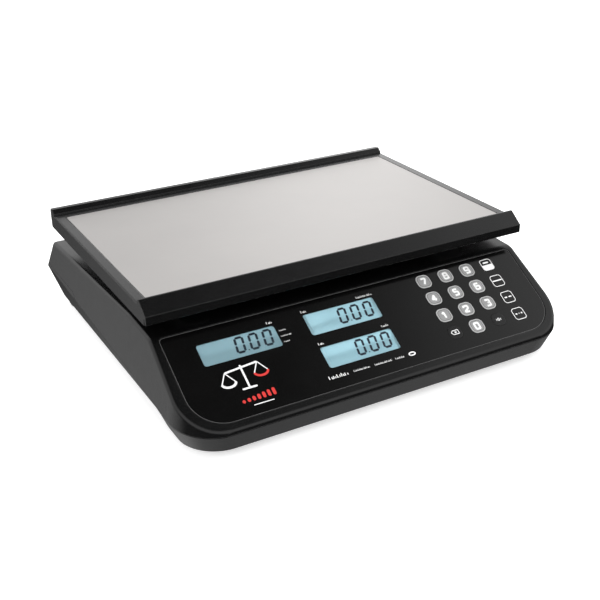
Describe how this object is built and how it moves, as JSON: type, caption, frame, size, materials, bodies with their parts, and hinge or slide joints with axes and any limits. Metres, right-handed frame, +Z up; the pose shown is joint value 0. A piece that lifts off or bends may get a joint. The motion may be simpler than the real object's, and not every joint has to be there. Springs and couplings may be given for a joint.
{
  "type": "price-computing counter scale",
  "caption": "Retail counter scale with a stainless pan on a guarded black tray, a sloping console with displays and a keypad, a load cell, levelling feet and a customer display.",
  "frame": {"origin": "on the counter under the middle of the case's outline", "axes": "+X to the operator's right, +Y to the back towards the customer, +Z up"},
  "size_m": [0.344, 0.3258, 0.1015],
  "materials": {
    "case_black": "black moulded ABS, high gloss",
    "panel_black": "back-printed polycarbonate panel, gloss",
    "clear_window": "clear display window",
    "lcd_glass": "backlit liquid crystal glass, pale blue",
    "diffuser_white": "white light guide",
    "board_green": "green circuit board",
    "key_silver": "silver-grey printed key",
    "key_black": "black printed key with a white outline",
    "spring_steel": "snap dome",
    "battery_grey": "grey battery block",
    "zinc_steel": "zinc-plated steel",
    "black_steel": "blackened steel screw",
    "aluminium": "machined aluminium",
    "cast_aluminium": "cast aluminium, as cast",
    "stainless": "satin stainless sheet",
    "rubber": "black rubber",
    "foot_black": "black nylon levelling foot",
    "switch_black": "black switch moulding",
    "cable_grey": "grey cable jacket",
    "vial_clear": "clear vial with green liquid"
  },
  "bodies": {
    "base": {"upper_housing": "case_black", "lower_housing": "case_black", "battery_door": "case_black", "console_overlay": "panel_black", "display_windows": "clear_window", "customer_window": "clear_window", "lcd_weight": "lcd_glass", "lcd_unit_price": "lcd_glass", "lcd_total": "lcd_glass", "customer_lcds": "lcd_glass", "lcd_backlights": "diffuser_white", "display_board": "board_green", "keypad_board": "board_green", "customer_board": "board_green", "main_board": "board_green", "keypad_domes": "spring_steel", "battery": "battery_grey", "chassis_plate": "zinc_steel", "load_cell": "aluminium", "load_cell_lower_spacer": "aluminium", "load_cell_lower_screws": "black_steel", "overload_stop": "zinc_steel", "housing_screws": "zinc_steel", "board_screws": "zinc_steel", "foot_lock_nuts": "zinc_steel", "load_cell_cable": "cable_grey", "level_vial": "vial_clear", "switch_body": "switch_black", "dc_inlet": "switch_black"},
    "platform": {"platform_spider": "cast_aluminium", "load_cell_upper_spacer": "aluminium", "load_cell_upper_screws": "black_steel", "tray_cushions": "rubber"},
    "tray": {"tray_frame": "case_black", "weighing_pan": "stainless"},
    "rocker": {"switch_rocker": "switch_black"},
    "key_0_body": {"key_0": "key_silver"},
    "key_1_body": {"key_1": "key_silver"},
    "key_2_body": {"key_2": "key_silver"},
    "key_3_body": {"key_3": "key_silver"},
    "key_4_body": {"key_4": "key_silver"},
    "key_5_body": {"key_5": "key_silver"},
    "key_6_body": {"key_6": "key_silver"},
    "key_7_body": {"key_7": "key_silver"},
    "key_8_body": {"key_8": "key_silver"},
    "key_9_body": {"key_9": "key_silver"},
    "key_clear_body": {"key_clear": "key_black"},
    "key_zero_body": {"key_zero": "key_black"},
    "key_f1_body": {"key_f1": "key_black"},
    "key_f2_body": {"key_f2": "key_black"},
    "key_f3_body": {"key_f3": "key_black"},
    "key_f4_body": {"key_f4": "key_black"},
    "foot_front_left_body": {"foot_front_left": "foot_black", "foot_pad_front_left": "rubber"},
    "foot_front_right_body": {"foot_front_right": "foot_black", "foot_pad_front_right": "rubber"},
    "foot_rear_left_body": {"foot_rear_left": "foot_black", "foot_pad_rear_left": "rubber"},
    "foot_rear_right_body": {"foot_rear_right": "foot_black", "foot_pad_rear_right": "rubber"}
  },
  "joints": [
    {"name": "platform_deflection", "type": "slide", "parent": "base", "child": "platform", "axis": [0, 0, 1], "range_m": [-0.0005, 0], "stiffness_N_per_m": 400000, "deforming": ["load_cell"]},
    {"name": "tray_lift", "type": "slide", "parent": "platform", "child": "tray", "axis": [0, 0, 1], "range_m": [0, 0.06]},
    {"name": "switch_rock", "type": "hinge", "parent": "base", "child": "rocker", "pos_m": [0.096, 0.15487, 0.02284], "axis": [0, 0.3901, 0.9208], "range_deg": [-16, 0]},
    {"name": "key_0_press", "type": "slide", "parent": "base", "child": "key_0_body", "axis": [0, -0.5173, 0.8558], "range_m": [-0.0004, 0], "stiffness_N_per_m": 1500},
    {"name": "key_1_press", "type": "slide", "parent": "base", "child": "key_1_body", "axis": [0, -0.5173, 0.8558], "range_m": [-0.0004, 0], "stiffness_N_per_m": 1500},
    {"name": "key_2_press", "type": "slide", "parent": "base", "child": "key_2_body", "axis": [0, -0.5173, 0.8558], "range_m": [-0.0004, 0], "stiffness_N_per_m": 1500},
    {"name": "key_3_press", "type": "slide", "parent": "base", "child": "key_3_body", "axis": [0, -0.5173, 0.8558], "range_m": [-0.0004, 0], "stiffness_N_per_m": 1500},
    {"name": "key_4_press", "type": "slide", "parent": "base", "child": "key_4_body", "axis": [0, -0.5173, 0.8558], "range_m": [-0.0004, 0], "stiffness_N_per_m": 1500},
    {"name": "key_5_press", "type": "slide", "parent": "base", "child": "key_5_body", "axis": [0, -0.5173, 0.8558], "range_m": [-0.0004, 0], "stiffness_N_per_m": 1500},
    {"name": "key_6_press", "type": "slide", "parent": "base", "child": "key_6_body", "axis": [0, -0.5173, 0.8558], "range_m": [-0.0004, 0], "stiffness_N_per_m": 1500},
    {"name": "key_7_press", "type": "slide", "parent": "base", "child": "key_7_body", "axis": [0, -0.5173, 0.8558], "range_m": [-0.0004, 0], "stiffness_N_per_m": 1500},
    {"name": "key_8_press", "type": "slide", "parent": "base", "child": "key_8_body", "axis": [0, -0.5173, 0.8558], "range_m": [-0.0004, 0], "stiffness_N_per_m": 1500},
    {"name": "key_9_press", "type": "slide", "parent": "base", "child": "key_9_body", "axis": [0, -0.5173, 0.8558], "range_m": [-0.0004, 0], "stiffness_N_per_m": 1500},
    {"name": "key_clear_press", "type": "slide", "parent": "base", "child": "key_clear_body", "axis": [0, -0.5173, 0.8558], "range_m": [-0.0004, 0], "stiffness_N_per_m": 1500},
    {"name": "key_zero_press", "type": "slide", "parent": "base", "child": "key_zero_body", "axis": [0, -0.5173, 0.8558], "range_m": [-0.0004, 0], "stiffness_N_per_m": 1500},
    {"name": "key_f1_press", "type": "slide", "parent": "base", "child": "key_f1_body", "axis": [0, -0.5173, 0.8558], "range_m": [-0.0004, 0], "stiffness_N_per_m": 1500},
    {"name": "key_f2_press", "type": "slide", "parent": "base", "child": "key_f2_body", "axis": [0, -0.5173, 0.8558], "range_m": [-0.0004, 0], "stiffness_N_per_m": 1500},
    {"name": "key_f3_press", "type": "slide", "parent": "base", "child": "key_f3_body", "axis": [0, -0.5173, 0.8558], "range_m": [-0.0004, 0], "stiffness_N_per_m": 1500},
    {"name": "key_f4_press", "type": "slide", "parent": "base", "child": "key_f4_body", "axis": [0, -0.5173, 0.8558], "range_m": [-0.0004, 0], "stiffness_N_per_m": 1500},
    {"name": "foot_front_left_level", "type": "slide", "parent": "base", "child": "foot_front_left_body", "axis": [0, 0, 1], "range_m": [-0.008, 0]},
    {"name": "foot_front_right_level", "type": "slide", "parent": "base", "child": "foot_front_right_body", "axis": [0, 0, 1], "range_m": [-0.008, 0]},
    {"name": "foot_rear_left_level", "type": "slide", "parent": "base", "child": "foot_rear_left_body", "axis": [0, 0, 1], "range_m": [-0.008, 0]},
    {"name": "foot_rear_right_level", "type": "slide", "parent": "base", "child": "foot_rear_right_body", "axis": [0, 0, 1], "range_m": [-0.008, 0]}
  ]
}
